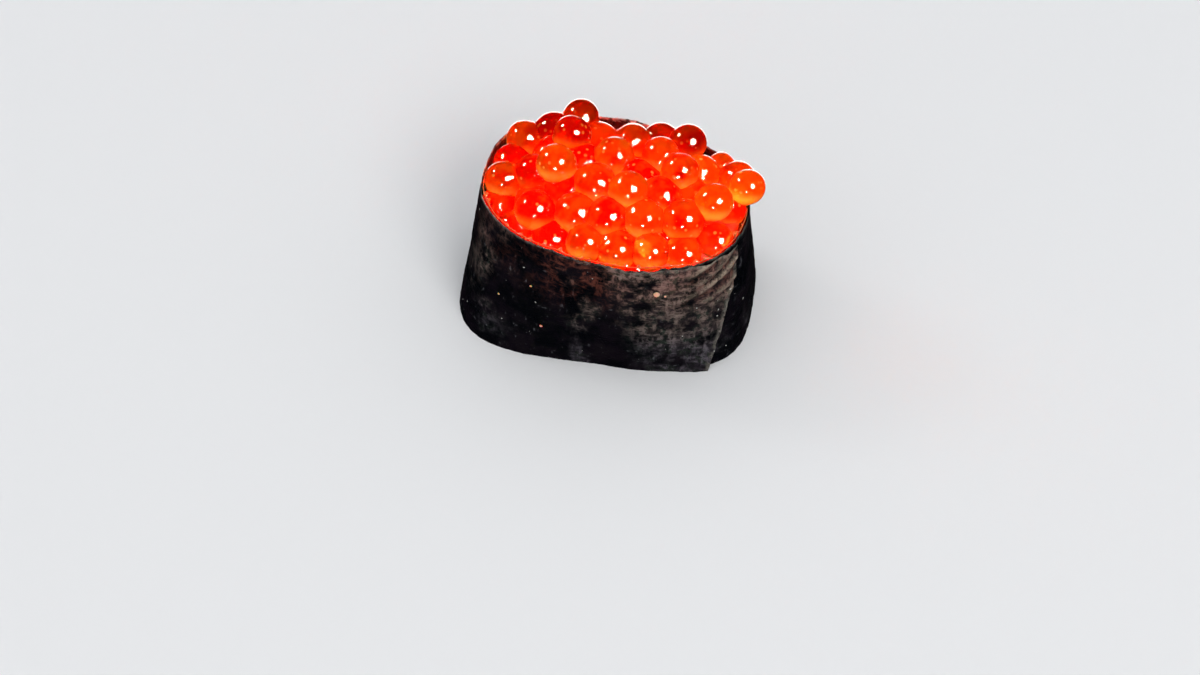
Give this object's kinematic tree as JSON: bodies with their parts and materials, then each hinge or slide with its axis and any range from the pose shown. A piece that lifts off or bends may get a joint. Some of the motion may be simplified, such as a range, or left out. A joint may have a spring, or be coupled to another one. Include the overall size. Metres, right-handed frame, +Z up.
{
  "type": "gunkan sushi",
  "caption": "Gunkan sushi: an oblong of pressed rice wrapped upright in a strip of nori and filled to above the rim with glossy orange-red salmon roe.",
  "frame": {"origin": "on the flat underside, at the middle of the strip's bottom outline", "axes": "+X along the longer side, towards the end where the strip's free end lies and the roe hangs over; -Y towards the front; +Z up"},
  "size_m": [0.0519, 0.0353, 0.0344],
  "materials": {
    "nori": "satin",
    "rice": "satin",
    "roe": "gloss"
  },
  "bodies": {
    "root": {"nori": "nori", "rice": "rice", "roe": "roe"}
  },
  "joints": []
}
